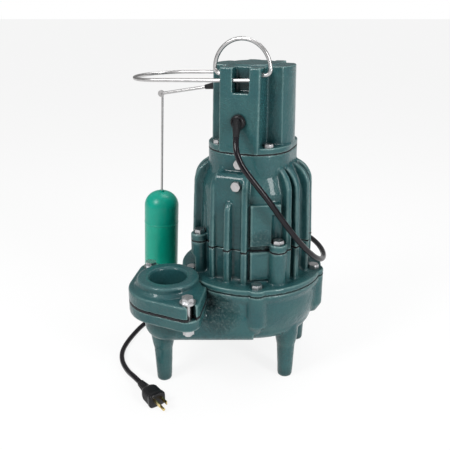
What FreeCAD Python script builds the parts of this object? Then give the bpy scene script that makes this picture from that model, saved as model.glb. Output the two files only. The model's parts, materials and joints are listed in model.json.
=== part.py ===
import FreeCAD
import Part
import math
import os
from FreeCAD import Vector

# A submersible sump pump that stands on four legs.
# Origin: on the shaft's axis, level with the feet. +Z is up, -Y is the side with
# the cord gland, and the float hangs on the -X side. Lengths are in millimetres.

# Heights of the castings, from the floor up
leg_height = 85.0
volute_height = 91.0
adapter_height = 62.5
motor_height = 149.0
cap_height = 127.0
gasket_thick = 1.5

# Volute: a bowl with bolt lugs, an outlet duct and a suction hole
bowl_radius = 116.0
bowl_foot_radius = 84.0
bowl_knuckle_radius = 107.0
bowl_knuckle_rise = 20.0
bowl_wall_rise = 57.0
chamber_radius = 94.0
chamber_floor = 15.0
suction_radius = 33.0
suction_lip = 5.0
suction_lip_width = 12.0
lug_inset = 8.0
lug_radius = 17.0
lug_drop = 70.0
lug_taper = 16.0
lug_count = 5
lug_start = -66.0

# Legs, as (x, y) of each foot
leg_places = [(-109.9, -128.5), (78.7, -40.0), (63.0, 84.0), (-87.0, 65.5)]
leg_foot_radius = 12.5
leg_top_radius = 16.5
leg_bulge = 3.0
leg_flare = 12.0
leg_sink = 35.0
leg_cone = 18.0

# Discharge: its centre, the turn of its ears, and its flange
discharge_reach = 44.6
discharge_angle = -127.156
discharge_turn = -40.0
discharge_bore_radius = 30.0
outlet_clearance = 1.0
flange_radius = 64.0
ear_offset = 70.0
ear_radius = 22.0
flange_seat_rise = 72.0
lower_flange_thick = 18.0
discharge_gasket_thick = 3.5
casting_clearance = 1.0
upper_flange_thick = 20.5
collar_radius = 50.0
collar_height = 15.0
collar_foot = 6.0
bore_chamfer = 3.0
bolt_offset = 75.0
slot_width = 14.0
neck_radius = 40.0
duct_half_width = 36.0
duct_rise = 63.0
duct_bore_radius = 24.0
duct_round = 20.0
duct_circle = 82.0

# Adapter: the casting that holds the oil, the seal and the lower bearing
rim_overhang = 4.0
rim_height = 6.0
rim_slope = 10.0
adapter_flange_thick = 8.5
adapter_core_radius = 88.0
adapter_fillet = 9.0
adapter_floor = 12.0
adapter_roof = 17.0
oil_chamber_radius = 78.0
shaft_hole_radius = 14.0
rib_foot_radius = 101.0

# Motor housing
rib_top_radius = 97.0
rib_shoulder_rise = 97.0
rib_end_rise = 130.0
rib_thick = 10.0
rib_round = 3.0
rib_sink = 7.0
short_rib_rise = 84.0
short_rib_bow = 0.7
rib_angles = [-149, -111.5, -78, -34.5, -23.5, -2, 19, 62, 79, 96, 113, 156, 174, 192]
short_rib_angle = -94.7
core_foot_radius = 87.0
core_waist_radius = 84.0
core_waist_rise = 88.0
barrel_half = 71.5
barrel_narrow = 4.5
barrel_corner = 56.0
barrel_rise = 104.0
stator_bore = 64.0
stator_room = 110.0
web_thick = 26.0
barrel_wall = 14.5
wire_hole_radius = 7.0
wire_hole_offset = 38.0
motor_lug_circle = 95.5
motor_lug_radius = 14.0
motor_lug_thick = 11.5
hood_front = 88.5
hood_x = (-31.0, 17.0)
hood_rise = 121.0
hood_round = 10.0
plate_angle = -57.5
plate_half_width = 24.0
plate_front = 93.5
plate_rise = (8.0, 76.0)

# Oil plugs on the front of the motor housing
plug_af = 14.0
plug_head = 6.0
plug_shank_radius = 5.0
plug_shank = 9.0
plug_drop = (14.5, 44.5)
plug_x = (2.5, 5.0)

# Switch cap
cap_top_half = 64.5
cap_flange_thick = 9.0
notch_edge = 32.0
panel_half_width = 32.0
panel_foot = 71.0
panel_top = 67.0
panel_round = 2.5
side_radius = 60.0
side_flat = 44.0
side_bay = 22.0
cap_wall = 7.0
cap_roof = 10.0
cap_lobe_short = 44.0
pocket_centre = 1.7
pocket_half_width = 13.3
pocket_depth = 37.0
pocket_back = 50.0
lid_rise = 2.0
lid_radius = 40.0
cap_screw_inset = 6.2
cap_screw_angle = 50.0

# Wires: the lifting bail, the float guard, the float arm and the float rod
bail_wire_radius = 3.0
bail_half_width = 43.5
bail_height = 51.0
bail_bend = 9.0
bail_pivot_y = -55.0
bail_pivot_drop = 11.0
bail_grip = 8.0
pivot_clearance = 0.08
guard_wire_radius = 3.0
guard_half_width = 61.0
guard_reach = 208.0
guard_drop = 22.0
guard_droop = 2.4
guard_inner_end = 24.0
guard_hole_end = 1.0
arm_wire_radius = 2.5
arm_pivot_inset = 9.5
arm_pivot_drop = 36.0
arm_seal_radius = 8.0
arm_seal_length = 22.0
arm_seal_mouth = 3.0
arm_seal_cone = 0.7
arm_seal_lip = 1.2
arm_seal_clearance = 0.3
arm_inner = 16.0
arm_pin_radius = 1.5
arm_pin_half = 11.0
eye_outer = 5.5
eye_thick = 3.0
float_x = -165.0
float_lean = 2.8
eye_z = 464.0
rod_radius = 2.0
rod_offset_y = 4.5
hook_overhang = 1.5

# Float: two welded shells on the rod
float_radius = 30.5
float_top = 290.0
float_bottom = 143.0
float_seam = 233.0
float_wall = 2.5
float_dome = 27.0
float_neck_radius = 4.5
float_neck = 2.0
rod_in_float = 22.0

# Fasteners, as radius, width across flats, head height and shank length
lug_bolt = (5.0, 16.0, 6.5, 30.0)
motor_bolt = (5.0, 16.0, 6.5, 28.0)
cap_screw = (4.0, 13.0, 5.5, 24.0)
discharge_bolt = (6.0, 17.0, 7.5, 58.0)
bolt_clearance = 0.6
hex_foot = 0.66
hex_crown = 0.53
head_room = 0.72
thread_clearance = 0.05
washer_radius = 12.5
washer_thick = 2.5
nut_height = 10.0

# Motor, shaft and pumping parts
shaft_body_radius = 15.0
shaft_seal_radius = 12.5
shaft_top_radius = 9.0
shaft_nose_radius = 10.0
shaft_thread_radius = 8.0
running_clearance = 0.05
fit_clearance = 0.05
stator_height = 65.0
stator_rise = 28.5
air_gap = 0.6
rotor_radius = 37.5
winding_height = 15.0
winding_radii = (43.0, 59.0)
end_ring_height = 8.0
bearing_width = 14.0
upper_bearing_radius = 20.0
lower_bearing_radius = 26.0
race_thick = 3.5
ball_count = 9
seat_radius = 22.0
seat_height = 8.0
seal_lip = 4.0
seal_head_radius = 20.0
seal_head_height = 8.0
spring_radius = 16.5
spring_wire_radius = 1.2
spring_height = 14.0
spring_turns = 4
impeller_radius = 76.0
impeller_top_gap = 7.5
shroud_thick = 7.0
vane_height = 34.0
vane_thick = 6.0
vane_count = 6
vane_lean = 35.0
hub_radius = 21.0
hub_height = 48.0
impeller_nut_af = 26.0
impeller_nut_height = 12.0
impeller_washer_radius = 17.0
impeller_washer_thick = 2.5

# Parts in the cap: the capacitor and the float switch
capacitor_radius = 16.0
capacitor_length = 66.0
capacitor_x = 22.0
capacitor_gap = 0.3
switch_size = (26.0, 22.0, 30.0)
switch_back = 52.7
switch_plunger_radius = 2.0
switch_plunger_rise = 10.0
switch_plunger_depth = 16.0
switch_plunger_x = -46.5
switch_gap = 0.3

# Cord, gland and plug
cord_radius = 4.5
gland_drop = 79.0
gland_radius = 11.5
gland_flange = 8.0
gland_sink = 0.8
gland_boss = 8.0
gland_aim = (0.25, -0.78, -0.57)
gland_run = 18.0
gland_stem_radius = 8.0
plug_tail = 22.0
plug_body_length = 36.0
plug_half_width = 14.0
plug_half_height = 12.0
plug_blade_length = 18.0
plug_blade = (1.5, 6.3)
plug_blade_gap = 12.7
plug_pin_radius = 2.4
plug_pin_drop = 6.0
plug_direction = (0.845, -0.534, 0.0)
plug_start = (-131.5, -174.5, 12.3)
coil_centre = (-75.0, 187.0)
coil_mean_radius = 50.0
coil_pitch = 9.4
coil_rows = 3
coil_layers = 2
coil_stub = 14.0
end_run = 20.0
coil_in_angle = 58.0
coil_out_angle = 150.0

# The cord's route from the gland to the coil, and from the coil to the plug
upper_route = [
    (11.0, -109.0, 407.0),
    (21.0, -113.0, 386.0),
    (40.0, -110.0, 362.0),
    (61.0, -101.0, 333.0),
    (81.0, -87.0, 297.0),
    (100.0, -68.0, 262.0),
    (116.0, -42.0, 231.0),
    (124.0, -10.0, 211.0),
    (122.0, 24.0, 204.0),
    (111.0, 56.0, 202.5),
    (93.0, 85.0, 203.0),
    (70.0, 111.0, 203.0),
    (46.0, 132.0, 195.0),
    (27.0, 145.0, 173.0),
    (16.2, 147.6, 146.1),
    (18.6, 154.3, 117.7),
    (32.2, 150.4, 89.0),
    (43.1, 159.5, 63.5),
    (41.2, 172.1, 39.5),
    (29.2, 188.0, 22.0),
]
lower_route = [
    (-172.0, 136.0, 4.5),
    (-192.0, 105.0, 4.5),
    (-215.0, 60.0, 4.5),
    (-229.0, 14.0, 4.5),
    (-228.0, -28.0, 4.5),
    (-224.0, -64.0, 4.5),
    (-216.0, -95.0, 4.5),
    (-199.0, -122.0, 4.5),
    (-172.0, -147.0, 6.5),
]

# Places that follow from the sizes
adapter_flange_radius = bowl_radius + rim_overhang
lug_circle = bowl_radius - lug_inset
discharge_x = (bowl_radius + discharge_reach) * math.cos(math.radians(discharge_angle))
discharge_y = (bowl_radius + discharge_reach) * math.sin(math.radians(discharge_angle))
barrel_side = barrel_half - barrel_narrow
rib_root = barrel_side - rib_sink
wire_room_radius = barrel_half - barrel_wall
cap_screw_circle = barrel_half - cap_screw_inset
arm_pivot_x = arm_pivot_inset - barrel_half

# Levels that follow from the heights
z_under = leg_height
z_seam = z_under + volute_height
z_adapter = z_seam + gasket_thick
z_adapter_top = z_adapter + adapter_height
z_motor = z_adapter_top + gasket_thick
z_motor_top = z_motor + motor_height
z_cap = z_motor_top + gasket_thick
z_top = z_cap + cap_height
z_flange = z_adapter + adapter_flange_thick
z_ledge = z_cap + cap_flange_thick
z_seat = z_under + flange_seat_rise
z_low_flange = z_seat - lower_flange_thick
z_up_flange = z_seat + discharge_gasket_thick
z_up_top = z_up_flange + upper_flange_thick
z_discharge = z_up_top + collar_height
z_arm = z_top - arm_pivot_drop
z_gland = z_top - gland_drop
z_shroud_top = z_adapter - impeller_top_gap
z_passage = z_under + duct_rise / 2 + 1

Z = Vector(0, 0, 1)


def cylinder(radius, low, high, x=0.0, y=0.0):
    return Part.makeCylinder(radius, high - low, Vector(x, y, low))


def ring(outer, inner, low, high, x=0.0, y=0.0):
    return cylinder(outer, low, high, x, y).cut(cylinder(inner, low - 1, high + 1, x, y))


def block(x0, x1, y0, y1, z0, z1):
    return Part.makeBox(x1 - x0, y1 - y0, z1 - z0, Vector(x0, y0, z0))


def rod(radius, start, end):
    return Part.makeCylinder(radius, (end - start).Length, start, end - start)


def fuse(shapes):
    return shapes[0].multiFuse(shapes[1:]).removeSplitter() if len(shapes) > 1 else shapes[0]


def cut(shape, tools):
    return shape.cut(Part.makeCompound(tools) if len(tools) > 1 else tools[0])


def turned(shape, angle):
    copy = shape.copy()
    copy.rotate(Vector(0, 0, 0), Z, angle)
    return copy


def polar(radius, angle):
    return radius * math.cos(math.radians(angle)), radius * math.sin(math.radians(angle))


def revolved(edges, x=0.0, y=0.0):
    # edges run in the plane y = 0 and close on the Z axis
    shape = Part.Face(Part.Wire(edges)).revolve(Vector(0, 0, 0), Z, 360)
    shape.translate(Vector(x, y, 0))
    return shape


def line(a, b):
    return Part.LineSegment(a, b).toShape()


def arc(a, middle, b):
    return Part.Arc(a, middle, b).toShape()


def rz(radius, height):
    return Vector(radius, 0, height)


def prism(points, height):
    # points share one level, and height is the extrusion along Z
    return Part.Face(Part.makePolygon(points + [points[0]])).extrude(Vector(0, 0, height))


def barrel_prism(low, high):
    # a block with large round corners, narrower from side to side than from front to back
    body = block(-barrel_side, barrel_side, -barrel_half, barrel_half, low, high)
    upright = [e for e in body.Edges if e.BoundBox.XLength < 0.01 and e.BoundBox.YLength < 0.01]
    return body.makeFillet(barrel_corner, upright)


def hexagon(across_flats, low, high, x=0.0, y=0.0):
    points = []
    for k in range(6):
        px, py = polar(across_flats / math.sqrt(3), 60 * k)
        points.append(Vector(px + x, py + y, low))
    head = prism(points, high - low)
    cone = Part.makeCone(hex_foot * across_flats, hex_crown * across_flats, high - low, Vector(x, y, low))
    return head.common(cone)


def hex_bolt(size, x, y, seat):
    radius, flats, head, shank = size
    return fuse([hexagon(flats, seat, seat + head, x, y), cylinder(radius, seat - shank, seat, x, y)])


def lug_spots():
    return [polar(lug_circle, lug_start + k * 360 / lug_count) for k in range(lug_count)]


def corner_spots(circle):
    return [polar(circle, 45 + 90 * k) for k in range(4)]


def cap_screw_spots():
    angles = (cap_screw_angle, 180 - cap_screw_angle, 180 + cap_screw_angle, -cap_screw_angle)
    return [polar(cap_screw_circle, angle) for angle in angles]


def placed_at_discharge(shape):
    copy = shape.copy()
    copy.rotate(Vector(0, 0, 0), Z, discharge_turn)
    copy.translate(Vector(discharge_x, discharge_y, 0))
    return copy


def bolt_spots():
    spots = []
    for side in (1, -1):
        x, y = polar(side * bolt_offset, discharge_turn)
        spots.append((x + discharge_x, y + discharge_y))
    return spots


def flange_plate(low, high):
    # a disc with two ears, joined by straight tangent edges
    spread = math.acos((flange_radius - ear_radius) / ear_offset)
    big = (flange_radius * math.cos(spread), flange_radius * math.sin(spread))
    small = (ear_offset + ear_radius * math.cos(spread), ear_radius * math.sin(spread))
    corners = [(big[0], big[1]), (small[0], small[1]), (small[0], -small[1]), (big[0], -big[1]),
               (-big[0], -big[1]), (-small[0], -small[1]), (-small[0], small[1]), (-big[0], big[1])]
    plate = [prism([Vector(x, y, low) for x, y in corners], high - low),
             cylinder(flange_radius, low, high),
             cylinder(ear_radius, low, high, ear_offset),
             cylinder(ear_radius, low, high, -ear_offset)]
    return fuse(plate)


def ear_slots(low, high):
    half = slot_width / 2
    reach = ear_offset + ear_radius + 5
    cuts = []
    for side in (1, -1):
        cuts.append(cylinder(half, low, high, side * bolt_offset))
        ends = sorted([side * bolt_offset, side * reach])
        cuts.append(block(ends[0], ends[1], -half, half, low, high))
    return cuts


def duct_line():
    # angle of the duct and its length, from the discharge to its tangent on the bowl
    away = math.hypot(discharge_x, discharge_y)
    bearing = math.degrees(math.atan2(discharge_y, discharge_x))
    touch = bearing + math.degrees(math.acos(duct_circle / away))
    tx, ty = polar(duct_circle, touch)
    angle = math.degrees(math.atan2(ty - discharge_y, tx - discharge_x))
    return angle, math.hypot(tx - discharge_x, ty - discharge_y)


def along_duct(shape):
    copy = shape.copy()
    copy.rotate(Vector(0, 0, 0), Z, duct_line()[0])
    copy.translate(Vector(discharge_x, discharge_y, 0))
    return copy


def leg(x, y):
    # a tapered foot that runs up beside the bowl as a column with a coned head
    neck = z_under - 2 * leg_flare
    taper = leg_foot_radius + (leg_top_radius - leg_foot_radius) * neck / z_under
    head = z_under + leg_sink
    chamfer = 1.5
    return revolved([
        line(rz(0, 0), rz(leg_foot_radius - chamfer, 0)),
        line(rz(leg_foot_radius - chamfer, 0), rz(leg_foot_radius, chamfer)),
        line(rz(leg_foot_radius, chamfer), rz(taper, neck)),
        arc(rz(taper, neck), rz(taper + 0.25 * leg_flare, z_under - 0.8 * leg_flare),
            rz(leg_top_radius + leg_bulge, z_under)),
        line(rz(leg_top_radius + leg_bulge, z_under), rz(leg_top_radius + leg_bulge, head - leg_cone)),
        line(rz(leg_top_radius + leg_bulge, head - leg_cone), rz(0.3 * leg_top_radius, head)),
        line(rz(0.3 * leg_top_radius, head), rz(0, head)),
        line(rz(0, head), rz(0, 0)),
    ], x, y)


def lug_boss(x, y):
    low = z_seam - lug_drop
    boss = cylinder(lug_radius, low + lug_taper, z_seam, x, y)
    return [boss, Part.makeCone(lug_radius * 0.45, lug_radius, lug_taper, Vector(x, y, low))]


def bowl_blank():
    # the outer form of the bowl with its lugs, before it is hollowed
    knuckle = z_under + bowl_knuckle_rise
    mid_r = (bowl_foot_radius + bowl_knuckle_radius) / 2 + 5
    mid_z = z_under + bowl_knuckle_rise * 0.3
    wall = z_under + bowl_wall_rise
    rim = z_seam - rim_height
    bowl = revolved([
        line(rz(0, z_under), rz(bowl_foot_radius, z_under)),
        arc(rz(bowl_foot_radius, z_under), rz(mid_r, mid_z), rz(bowl_knuckle_radius, knuckle)),
        arc(rz(bowl_knuckle_radius, knuckle),
            rz((bowl_knuckle_radius + bowl_radius) / 2 + 1.5, (knuckle + wall) / 2),
            rz(bowl_radius, wall)),
        line(rz(bowl_radius, wall), rz(bowl_radius, rim - rim_slope)),
        line(rz(bowl_radius, rim - rim_slope), rz(adapter_flange_radius, rim)),
        line(rz(adapter_flange_radius, rim), rz(adapter_flange_radius, z_seam)),
        line(rz(adapter_flange_radius, z_seam), rz(0, z_seam)),
        line(rz(0, z_seam), rz(0, z_under)),
    ])
    solids = [bowl, cylinder(suction_radius + suction_lip_width, z_under - suction_lip, z_under + 5)]
    for x, y in lug_spots():
        solids.extend(lug_boss(x, y))
    return fuse(solids)


def outlet_blank():
    # the duct that leaves the bowl at a tangent, the neck that turns it up, and the flange on top
    length = duct_line()[1]
    duct = block(0, length, -duct_half_width, duct_half_width, z_under + 4, z_under + duct_rise)
    edges = [e for e in duct.Edges if e.Length > length - 1]
    duct = duct.makeFillet(duct_round, edges)
    neck_low = z_under + 4
    shoulder = neck_low + 0.7 * neck_radius
    neck = revolved([
        line(rz(0, neck_low), rz(0.45 * neck_radius, neck_low)),
        arc(rz(0.45 * neck_radius, neck_low), rz(0.87 * neck_radius, neck_low + 0.22 * neck_radius),
            rz(neck_radius, shoulder)),
        line(rz(neck_radius, shoulder), rz(neck_radius, z_low_flange + 2)),
        line(rz(neck_radius, z_low_flange + 2), rz(0, z_low_flange + 2)),
        line(rz(0, z_low_flange + 2), rz(0, neck_low)),
    ], discharge_x, discharge_y)
    return fuse([along_duct(duct), neck, placed_at_discharge(flange_plate(z_low_flange, z_seat))])


def volute_legs(bowl, outlet):
    # the legs are cast on the bowl and the outlet, and each ends on their outside
    return [leg(x, y).cut(bowl).cut(outlet) for x, y in leg_places]


def passage():
    shape = Part.makeCylinder(duct_bore_radius, duct_line()[1], Vector(0, 0, z_passage), Vector(1, 0, 0))
    return along_duct(shape)


def volute_housing(bowl):
    tools = [
        cylinder(chamber_radius, z_under + chamber_floor, z_seam + 1),
        cylinder(suction_radius, z_under - suction_lip - 1, z_under + chamber_floor + 1),
        passage(),
    ]
    for x, y in lug_spots():
        tools.append(cylinder(lug_bolt[0] + thread_clearance, z_flange - lug_bolt[3] - 2, z_seam + 1, x, y))
    return cut(bowl, [fuse(tools)])


def volute_outlet(bowl, outlet):
    # cast in one with the bowl, and drawn up to its outside
    bore = discharge_bore_radius + outlet_clearance
    tools = [passage(), cylinder(bore, z_passage, z_seat + 1, discharge_x, discharge_y)]
    for x, y in bolt_spots():
        tools.append(cylinder(discharge_bolt[0] + bolt_clearance, z_low_flange - 1, z_seat + 1, x, y))
        tools.append(cylinder(washer_radius, z_low_flange - nut_height - 12, z_low_flange, x, y))
    return cut(outlet.cut(bowl), [fuse(tools)])


def volute_gasket():
    shapes = [cylinder(adapter_flange_radius, z_seam, z_adapter)]
    tools = [cylinder(chamber_radius, z_seam - 1, z_adapter + 1)]
    for x, y in lug_spots():
        shapes.append(cylinder(lug_radius, z_seam, z_adapter, x, y))
        tools.append(cylinder(lug_bolt[0] + bolt_clearance, z_seam - 1, z_adapter + 1, x, y))
    return cut(fuse(shapes), tools)


def beside_bowl(shape):
    # what sits on the outlet stays clear of the bowl's rim, its lugs and its bolt heads
    rim = z_flange + casting_clearance
    tools = [cylinder(adapter_flange_radius + casting_clearance, z_seat - 1, rim)]
    for x, y in lug_spots():
        tools.append(cylinder(lug_radius + casting_clearance, z_seat - 1, rim, x, y))
        tools.append(cylinder(lug_bolt[1] * head_room, z_seat - 1, z_discharge + 1, x, y))
    return cut(placed_at_discharge(shape), [fuse(tools)])


def discharge_gasket():
    hole = cylinder(discharge_bore_radius + outlet_clearance, z_seat - 1, z_up_flange + 1)
    tools = [hole] + ear_slots(z_seat - 1, z_up_flange + 1)
    return beside_bowl(cut(flange_plate(z_seat, z_up_flange), tools))


def discharge_flange():
    plate = flange_plate(z_up_flange, z_up_top)
    plate = plate.makeFillet(3.0, [e for e in plate.Edges
                                   if abs(e.BoundBox.ZMin - z_up_top) < 0.01
                                   and abs(e.BoundBox.ZMax - z_up_top) < 0.01])
    foot = Part.makeCone(collar_radius + collar_foot, collar_radius, collar_foot, Vector(0, 0, z_up_top))
    collar = cylinder(collar_radius, z_up_top - 2, z_discharge)
    collar = collar.makeFillet(4.0, [e for e in collar.Edges if abs(e.BoundBox.ZMin - z_discharge) < 0.01])
    chamfer = Part.makeCone(discharge_bore_radius, discharge_bore_radius + bore_chamfer,
                            bore_chamfer, Vector(0, 0, z_discharge - bore_chamfer))
    tools = [cylinder(discharge_bore_radius, z_up_flange - 1, z_discharge + 1), chamfer]
    for side in (1, -1):
        tools.append(cylinder(washer_radius + 1, z_up_top, z_discharge + 1, side * bolt_offset))
    body = cut(fuse([plate, foot, collar]), tools + ear_slots(z_up_flange - 1, z_discharge + 1))
    return beside_bowl(body)


def discharge_fasteners():
    bolts, washers, nuts = [], [], []
    for x, y in bolt_spots():
        head_seat = z_up_top + washer_thick
        bolts.append(hex_bolt(discharge_bolt, x, y, head_seat))
        washers.append(ring(washer_radius, discharge_bolt[0] + 0.3, z_up_top, head_seat, x, y))
        nut = hexagon(discharge_bolt[1], z_low_flange - nut_height, z_low_flange, x, y)
        nuts.append(nut.cut(cylinder(discharge_bolt[0] + thread_clearance,
                                     z_low_flange - nut_height - 1, z_low_flange + 1, x, y)))
    return bolts, washers, nuts


def rib(low, high_points):
    edges = []
    half = rib_thick / 2
    start = Vector(rib_root, -half, low)
    previous = start
    for p in high_points:
        here = Vector(p[0], -half, p[1])
        if len(p) > 2:
            edges.append(arc(previous, Vector(p[2], -half, p[3]), here))
        else:
            edges.append(line(previous, here))
        previous = here
    edges.append(line(previous, start))
    shape = Part.Face(Part.Wire(edges)).extrude(Vector(0, rib_thick, 0))
    outer = [e for e in shape.Edges if e.BoundBox.YLength < 0.01 and e.BoundBox.XMax > rib_top_radius - 30
             and e.BoundBox.XMin > rib_root + 1 and e.BoundBox.ZLength > 5]
    return shape.makeFillet(rib_round, outer)


def full_rib():
    shoulder = z_motor + rib_shoulder_rise
    end = z_motor + rib_end_rise
    inner = barrel_side - 2
    bow = inner + (rib_top_radius - inner) * 0.72
    return rib(z_motor, [(rib_foot_radius, z_motor), (rib_top_radius, shoulder),
                         (inner, end, bow, shoulder + (end - shoulder) * 0.58), (rib_root, end)])


def short_rib():
    shoulder = z_motor + short_rib_rise - 16
    end = z_motor + short_rib_rise
    edge = rib_foot_radius + (rib_top_radius - rib_foot_radius) * (shoulder - z_motor) / rib_shoulder_rise
    inner = core_waist_radius - 6
    bow = inner + (edge - inner) * short_rib_bow
    return rib(z_motor, [(rib_foot_radius, z_motor), (edge, shoulder),
                         (inner, end, bow, shoulder + (end - shoulder) * 0.56), (rib_root, end)])


def adapter_rib():
    return rib(z_flange - 1, [(rib_foot_radius, z_flange - 1), (rib_foot_radius, z_adapter_top),
                              (rib_root, z_adapter_top)])


def ribs(maker, short_maker):
    shapes = [turned(maker(), angle) for angle in rib_angles]
    shapes.append(turned(short_maker(), short_rib_angle))
    return shapes


def hood(low, high, round_top):
    pad = block(hood_x[0], hood_x[1], -hood_front, -rib_root, low, high)
    edges = [e for e in pad.Edges if e.BoundBox.YMax < -hood_front + 0.1 and e.BoundBox.XLength > 5
             and e.BoundBox.ZMin > high - 0.1]
    return pad.makeFillet(round_top, edges) if round_top else pad


def plate_pad(low, high, front):
    pad = block(70, front, -plate_half_width, plate_half_width, low, high)
    pad = pad.makeFillet(1.5, [e for e in pad.Edges if e.BoundBox.XMin > front - 0.1])
    return turned(pad, plate_angle)


def adapter_housing():
    # the hollow at the core's foot meets the flange at a slight angle
    core_foot = adapter_core_radius + adapter_fillet
    hollow = 0.36 * adapter_fillet
    core = revolved([
        line(rz(0, z_adapter), rz(adapter_flange_radius, z_adapter)),
        line(rz(adapter_flange_radius, z_adapter), rz(adapter_flange_radius, z_flange - 1)),
        line(rz(adapter_flange_radius, z_flange - 1), rz(adapter_flange_radius - 1, z_flange)),
        line(rz(adapter_flange_radius - 1, z_flange), rz(core_foot, z_flange)),
        arc(rz(core_foot, z_flange), rz(adapter_core_radius + hollow, z_flange + hollow),
            rz(adapter_core_radius, z_flange + adapter_fillet)),
        line(rz(adapter_core_radius, z_flange + adapter_fillet), rz(adapter_core_radius, z_adapter_top)),
        line(rz(adapter_core_radius, z_adapter_top), rz(0, z_adapter_top)),
        line(rz(0, z_adapter_top), rz(0, z_adapter)),
    ])
    shapes = [core, hood(z_flange, z_adapter_top, 0),
              plate_pad(z_flange + 6, z_adapter_top, plate_front)]
    shapes += ribs(adapter_rib, adapter_rib)
    tools = [
        cylinder(oil_chamber_radius, z_adapter + adapter_floor, z_adapter_top - adapter_roof),
        cylinder(shaft_hole_radius, z_adapter - 1, z_adapter_top + 1),
        cylinder(lower_bearing_radius + fit_clearance, z_adapter_top - bearing_width, z_adapter_top + 1),
        cylinder(seat_radius + fit_clearance, z_adapter + seal_lip, z_adapter + adapter_floor + 1),
    ]
    for x, y in lug_spots():
        shapes.append(cylinder(lug_radius, z_adapter, z_flange, x, y))
        tools.append(cylinder(lug_bolt[0] + bolt_clearance, z_adapter - 1, z_flange + 1, x, y))
        tools.append(cylinder(lug_bolt[1] * head_room, z_flange, z_flange + 30, x, y))
    for x, y in corner_spots(motor_lug_circle):
        shapes.append(cylinder(motor_lug_radius, z_flange - 1, z_adapter_top, x, y))
        tools.append(cylinder(motor_bolt[0] + thread_clearance, z_motor + motor_lug_thick - motor_bolt[3] - 2,
                              z_adapter_top + 1, x, y))
    return cut(fuse(shapes), [fuse(tools)])


def motor_gasket():
    shapes = [cylinder(adapter_core_radius, z_adapter_top, z_motor)]
    half = rib_thick / 2
    for angle in rib_angles + [short_rib_angle]:
        strip = block(rib_root, rib_foot_radius, -half, half, z_adapter_top, z_motor)
        shapes.append(turned(strip, angle))
    tools = [cylinder(stator_bore, z_adapter_top - 1, z_motor + 1)]
    for x, y in corner_spots(motor_lug_circle):
        shapes.append(cylinder(motor_lug_radius, z_adapter_top, z_motor, x, y))
        tools.append(cylinder(motor_bolt[0] + bolt_clearance, z_adapter_top - 1, z_motor + 1, x, y))
    return cut(fuse(shapes), tools)


def motor_housing():
    waist = z_motor + core_waist_rise
    end = z_motor + rib_end_rise
    core = revolved([
        line(rz(0, z_motor), rz(core_foot_radius, z_motor)),
        line(rz(core_foot_radius, z_motor), rz(core_waist_radius, waist)),
        arc(rz(core_waist_radius, waist), rz(barrel_side + 9, waist + 0.55 * (end - waist)),
            rz(barrel_side - 1, end)),
        line(rz(barrel_side - 1, end), rz(0, end)),
        line(rz(0, end), rz(0, z_motor)),
    ])
    barrel = barrel_prism(z_motor + barrel_rise, z_motor_top)
    pad = plate_pad(z_motor + plate_rise[0], z_motor + plate_rise[1], plate_front)
    shapes = [core, barrel, hood(z_motor, z_motor + hood_rise, hood_round), pad] + ribs(full_rib, short_rib)
    web_low = z_motor + stator_room
    tools = [
        cylinder(stator_bore, z_motor - 1, web_low),
        cylinder(wire_room_radius, web_low + web_thick, z_motor_top + 1),
        cylinder(upper_bearing_radius + fit_clearance, web_low - 1, web_low + bearing_width),
        cylinder(shaft_top_radius + 2, web_low, web_low + bearing_width + 3),
        cylinder(wire_hole_radius, web_low - 1, web_low + web_thick + 1, wire_hole_offset),
    ]
    for x, y in corner_spots(motor_lug_circle):
        shapes.append(cylinder(motor_lug_radius, z_motor, z_motor + motor_lug_thick, x, y))
        tools.append(cylinder(motor_bolt[0] + bolt_clearance, z_motor - 1, z_motor + motor_lug_thick, x, y))
        tools.append(cylinder(motor_bolt[1] * head_room, z_motor + motor_lug_thick, z_motor + 60, x, y))
    for x, y in cap_screw_spots():
        tools.append(cylinder(cap_screw[0] + thread_clearance, z_ledge - cap_screw[3] - 2,
                              z_motor_top + 1, x, y))
    for seat in oil_plug_seats():
        tools.append(Part.makeCylinder(plug_shank_radius + thread_clearance, plug_shank + 1, seat,
                                       Vector(0, 1, 0)))
        tools.append(Part.makeCylinder(plug_af * head_room, 20, seat, Vector(0, -1, 0)))
    return cut(fuse(shapes), [fuse(tools)])


def oil_plug_seats():
    # one plug on the barrel's flat front, and one on the hood
    return [Vector(plug_x[0], -barrel_half, z_motor_top - plug_drop[0]),
            Vector(plug_x[1], -hood_front, z_motor_top - plug_drop[1])]


def oil_plugs():
    plugs = []
    for seat in oil_plug_seats():
        screw = fuse([hexagon(plug_af, 0, plug_head), cylinder(plug_shank_radius, -plug_shank, 0)])
        screw.rotate(Vector(0, 0, 0), Vector(1, 0, 0), 90)
        screw.translate(seat)
        plugs.append(screw)
    return plugs


def cap_gasket():
    tools = [cylinder(wire_room_radius, z_motor_top - 1, z_cap + 1)]
    for x, y in cap_screw_spots():
        tools.append(cylinder(cap_screw[0] + bolt_clearance, z_motor_top - 1, z_cap + 1, x, y))
    return cut(barrel_prism(z_motor_top, z_cap), tools)


def panel(side):
    half = panel_half_width
    back = 2 - notch_edge
    low = [Vector(-half, back, z_cap), Vector(half, back, z_cap),
           Vector(half, -panel_foot, z_cap), Vector(-half, -panel_foot, z_cap)]
    high = [Vector(-half, back, z_top), Vector(half, back, z_top),
            Vector(half, -panel_top, z_top), Vector(-half, -panel_top, z_top)]
    wires = [Part.makePolygon(p + [p[0]]) for p in (low, high)]
    shape = Part.makeLoft(wires, True, True)
    edges = [e for e in shape.Edges if e.BoundBox.YMax < -panel_top + 0.5 and e.BoundBox.ZLength > 10]
    edges += [e for e in shape.Edges if e.BoundBox.YMax < -panel_top + 0.5 and e.BoundBox.ZMin > z_top - 1]
    shape = shape.makeFillet(panel_round, edges)
    return turned(shape, 0 if side < 0 else 180)


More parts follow.
